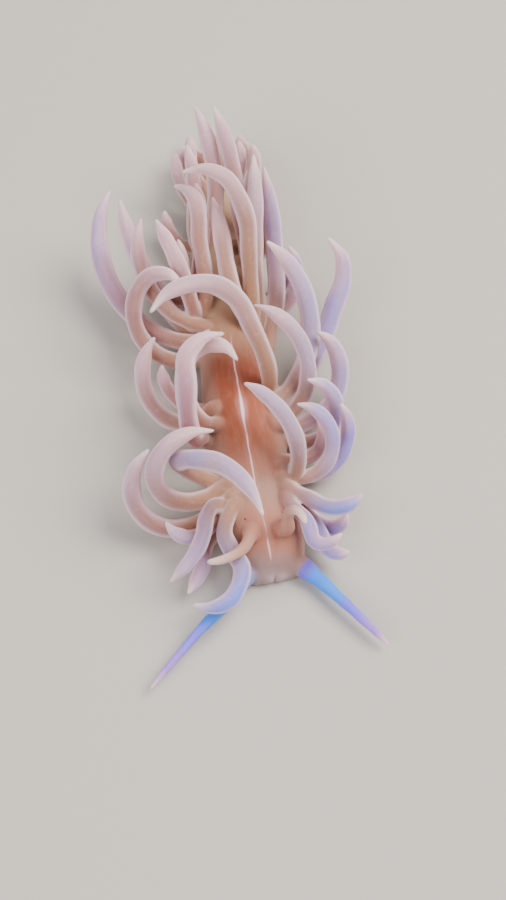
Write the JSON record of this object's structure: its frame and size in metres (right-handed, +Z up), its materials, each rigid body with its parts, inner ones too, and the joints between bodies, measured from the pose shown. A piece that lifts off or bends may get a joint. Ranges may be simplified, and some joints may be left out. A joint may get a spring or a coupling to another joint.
{
  "type": "sea slug",
  "caption": "Still life-size sea slug crawling on a flat floor, its back covered with long curling cerata, with oral tentacles and rhinophores on the head.",
  "frame": {"origin": "point of the sole under the middle of the body, on the floor", "axes": "+Y towards the tail, +X to the slug's left, +Z up"},
  "size_m": [0.0211, 0.0473, 0.0106],
  "materials": {
    "body_skin": "wet, translucent peach skin over orange flesh, with a broken white line along the back",
    "cerata_skin": "wet, translucent pinkish grey, beige at the roots, lilac to blue sheen on the outer bends and cream tips",
    "tentacle_skin": "wet sky blue turning to lilac and cream at the tip",
    "rhinophore_skin": "wet, translucent cream"
  },
  "bodies": {
    "root": {"head": "body_skin", "neck": "cerata_skin", "heart_region": "cerata_skin", "mid_body": "cerata_skin", "rear_body": "cerata_skin", "tail": "cerata_skin", "oral_tentacle_right": "tentacle_skin", "oral_tentacle_left": "tentacle_skin", "rhinophore_right": "rhinophore_skin", "rhinophore_left": "rhinophore_skin"}
  },
  "joints": []
}
